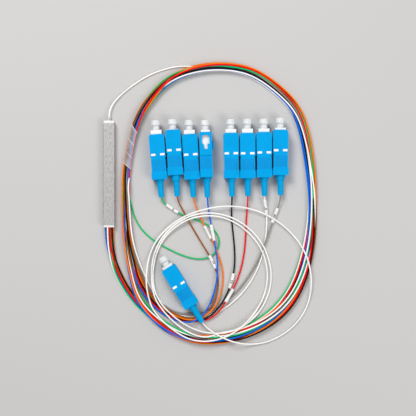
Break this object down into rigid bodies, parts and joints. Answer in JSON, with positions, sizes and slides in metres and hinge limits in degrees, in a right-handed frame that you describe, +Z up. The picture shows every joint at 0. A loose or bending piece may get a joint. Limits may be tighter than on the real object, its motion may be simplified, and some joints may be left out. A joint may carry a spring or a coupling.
{
  "type": "plc fibre splitter",
  "caption": "Slim steel planar splitter module with one input and several output fibres in a coil, each on a capped push-pull square fibre connector.",
  "frame": {"origin": "centre of the underside of the steel module", "axes": "+Z up, +Y along the module towards its input end, +X from the module towards the connectors"},
  "size_m": [0.1266, 0.1689, 0.0092],
  "materials": {
    "tube_steel": "grainy brushed stainless steel",
    "seal_white": "matt white cast seal",
    "carrier_metal": "plain",
    "chip_glass": "polished glass",
    "array_glass": "polished glass",
    "bare_fibre": "bare glass fibre",
    "relief_clear": "translucent soft plastic",
    "fibre_bundle": "bundle of coloured fibres",
    "clear_film": "clear wound film",
    "sleeve_white": "white sleeve with a plain dark number",
    "boot_blue": "soft blue elastomer",
    "stop_metal": "nickel-plated",
    "spring_steel": "spring wire",
    "frame_white": "moulded white",
    "cap_clear": "translucent moulded",
    "grip_blue": "moulded blue, satin",
    "ferrule_white": "polished zirconia",
    "fibre_green": "coloured buffer",
    "fibre_brown": "coloured buffer",
    "fibre_orange": "coloured buffer",
    "fibre_blue": "coloured buffer",
    "fibre_black": "coloured buffer",
    "fibre_red": "coloured buffer",
    "fibre_white": "coloured buffer",
    "fibre_grey": "coloured buffer"
  },
  "bodies": {
    "root": {"steel_tube": "tube_steel", "end_seal_input": "seal_white", "end_seal_output": "seal_white", "carrier_plate": "carrier_metal", "splitter_chip": "chip_glass", "chip_lid": "chip_glass", "input_fibre_array": "array_glass", "output_fibre_array": "array_glass", "bare_input_fibre": "bare_fibre", "ribbon_fibres": "bare_fibre", "input_strain_relief": "relief_clear", "output_coil": "fibre_bundle", "input_coil": "fibre_white", "bundle_wrap": "clear_film", "number_sleeves": "sleeve_white", "output_fibre_1": "fibre_green", "output_fibre_2": "fibre_brown", "output_fibre_3": "fibre_orange", "output_fibre_4": "fibre_blue", "output_fibre_5": "fibre_black", "output_fibre_6": "fibre_red", "output_fibre_7": "fibre_white", "output_fibre_8": "fibre_grey", "input_fibre": "fibre_white", "boots": "boot_blue", "stop_bodies": "stop_metal", "ferrule_springs": "spring_steel", "plug_frames": "frame_white"},
    "cap_1": {"dust_cap_1": "cap_clear"},
    "grip_body_1": {"grip_1": "grip_blue"},
    "ferrule_body_1": {"ferrule_1": "ferrule_white"},
    "cap_2": {"dust_cap_2": "cap_clear"},
    "grip_body_2": {"grip_2": "grip_blue"},
    "ferrule_body_2": {"ferrule_2": "ferrule_white"},
    "cap_3": {"dust_cap_3": "cap_clear"},
    "grip_body_3": {"grip_3": "grip_blue"},
    "ferrule_body_3": {"ferrule_3": "ferrule_white"},
    "cap_4": {"dust_cap_4": "cap_clear"},
    "grip_body_4": {"grip_4": "grip_blue"},
    "ferrule_body_4": {"ferrule_4": "ferrule_white"},
    "cap_5": {"dust_cap_5": "cap_clear"},
    "grip_body_5": {"grip_5": "grip_blue"},
    "ferrule_body_5": {"ferrule_5": "ferrule_white"},
    "cap_6": {"dust_cap_6": "cap_clear"},
    "grip_body_6": {"grip_6": "grip_blue"},
    "ferrule_body_6": {"ferrule_6": "ferrule_white"},
    "cap_7": {"dust_cap_7": "cap_clear"},
    "grip_body_7": {"grip_7": "grip_blue"},
    "ferrule_body_7": {"ferrule_7": "ferrule_white"},
    "cap_8": {"dust_cap_8": "cap_clear"},
    "grip_body_8": {"grip_8": "grip_blue"},
    "ferrule_body_8": {"ferrule_8": "ferrule_white"},
    "cap_input": {"dust_cap_input": "cap_clear"},
    "grip_body_input": {"grip_input": "grip_blue"},
    "ferrule_body_input": {"ferrule_input": "ferrule_white"}
  },
  "joints": [
    {"name": "cap_pull_1", "type": "slide", "parent": "root", "child": "cap_1", "axis": [-0.0766, 0.9955, 0.0551], "range_m": [0, 0.006]},
    {"name": "grip_slide_1", "type": "slide", "parent": "root", "child": "grip_body_1", "axis": [-0.0766, 0.9955, 0.0551], "range_m": [-0.0001, 0.0023]},
    {"name": "ferrule_spring_1", "type": "slide", "parent": "root", "child": "ferrule_body_1", "axis": [-0.0766, 0.9955, 0.0551], "range_m": [-0.001, 0], "stiffness_N_per_m": 1000, "deforming": ["ferrule_springs"]},
    {"name": "cap_pull_2", "type": "slide", "parent": "root", "child": "cap_2", "axis": [-0.0662, 0.9963, 0.0551], "range_m": [0, 0.006]},
    {"name": "grip_slide_2", "type": "slide", "parent": "root", "child": "grip_body_2", "axis": [-0.0662, 0.9963, 0.0551], "range_m": [-0.0022, 0.0002]},
    {"name": "ferrule_spring_2", "type": "slide", "parent": "root", "child": "ferrule_body_2", "axis": [-0.0662, 0.9963, 0.0551], "range_m": [-0.001, 0], "stiffness_N_per_m": 1000, "deforming": ["ferrule_springs"]},
    {"name": "cap_pull_3", "type": "slide", "parent": "root", "child": "cap_3", "axis": [-0.0592, 0.9967, 0.0551], "range_m": [0, 0.006]},
    {"name": "grip_slide_3", "type": "slide", "parent": "root", "child": "grip_body_3", "axis": [-0.0592, 0.9967, 0.0551], "range_m": [-0.0001, 0.0023]},
    {"name": "ferrule_spring_3", "type": "slide", "parent": "root", "child": "ferrule_body_3", "axis": [-0.0592, 0.9967, 0.0551], "range_m": [-0.001, 0], "stiffness_N_per_m": 1000, "deforming": ["ferrule_springs"]},
    {"name": "cap_pull_4", "type": "slide", "parent": "root", "child": "cap_4", "axis": [-0.0314, 0.9995, 0], "range_m": [0, 0.006]},
    {"name": "grip_slide_4", "type": "slide", "parent": "root", "child": "grip_body_4", "axis": [-0.0314, 0.9995, 0], "range_m": [-0.0013, 0.0011]},
    {"name": "ferrule_spring_4", "type": "slide", "parent": "root", "child": "ferrule_body_4", "axis": [-0.0314, 0.9995, 0], "range_m": [-0.001, 0], "stiffness_N_per_m": 1000, "deforming": ["ferrule_springs"]},
    {"name": "cap_pull_5", "type": "slide", "parent": "root", "child": "cap_5", "axis": [-0.0192, 0.9983, 0.0551], "range_m": [0, 0.006]},
    {"name": "grip_slide_5", "type": "slide", "parent": "root", "child": "grip_body_5", "axis": [-0.0192, 0.9983, 0.0551], "range_m": [-0.0003, 0.0021]},
    {"name": "ferrule_spring_5", "type": "slide", "parent": "root", "child": "ferrule_body_5", "axis": [-0.0192, 0.9983, 0.0551], "range_m": [-0.001, 0], "stiffness_N_per_m": 1000, "deforming": ["ferrule_springs"]},
    {"name": "cap_pull_6", "type": "slide", "parent": "root", "child": "cap_6", "axis": [-0.0087, 0.9984, 0.0551], "range_m": [0, 0.006]},
    {"name": "grip_slide_6", "type": "slide", "parent": "root", "child": "grip_body_6", "axis": [-0.0087, 0.9984, 0.0551], "range_m": [-0.0001, 0.0023]},
    {"name": "ferrule_spring_6", "type": "slide", "parent": "root", "child": "ferrule_body_6", "axis": [-0.0087, 0.9984, 0.0551], "range_m": [-0.001, 0], "stiffness_N_per_m": 1000, "deforming": ["ferrule_springs"]},
    {"name": "cap_pull_7", "type": "slide", "parent": "root", "child": "cap_7", "axis": [-0.0122, 0.9984, 0.0551], "range_m": [0, 0.006]},
    {"name": "grip_slide_7", "type": "slide", "parent": "root", "child": "grip_body_7", "axis": [-0.0122, 0.9984, 0.0551], "range_m": [-0.0005, 0.0019]},
    {"name": "ferrule_spring_7", "type": "slide", "parent": "root", "child": "ferrule_body_7", "axis": [-0.0122, 0.9984, 0.0551], "range_m": [-0.001, 0], "stiffness_N_per_m": 1000, "deforming": ["ferrule_springs"]},
    {"name": "cap_pull_8", "type": "slide", "parent": "root", "child": "cap_8", "axis": [-0.007, 0.9985, 0.0551], "range_m": [0, 0.006]},
    {"name": "grip_slide_8", "type": "slide", "parent": "root", "child": "grip_body_8", "axis": [-0.007, 0.9985, 0.0551], "range_m": [-0.0013, 0.0011]},
    {"name": "ferrule_spring_8", "type": "slide", "parent": "root", "child": "ferrule_body_8", "axis": [-0.007, 0.9985, 0.0551], "range_m": [-0.001, 0], "stiffness_N_per_m": 1000, "deforming": ["ferrule_springs"]},
    {"name": "cap_pull_input", "type": "slide", "parent": "root", "child": "cap_input", "axis": [-0.5262, 0.8486, 0.0551], "range_m": [0, 0.006]},
    {"name": "grip_slide_input", "type": "slide", "parent": "root", "child": "grip_body_input", "axis": [-0.5262, 0.8486, 0.0551], "range_m": [-0.0012, 0.0012]},
    {"name": "ferrule_spring_input", "type": "slide", "parent": "root", "child": "ferrule_body_input", "axis": [-0.5262, 0.8486, 0.0551], "range_m": [-0.001, 0], "stiffness_N_per_m": 1000, "deforming": ["ferrule_springs"]}
  ]
}
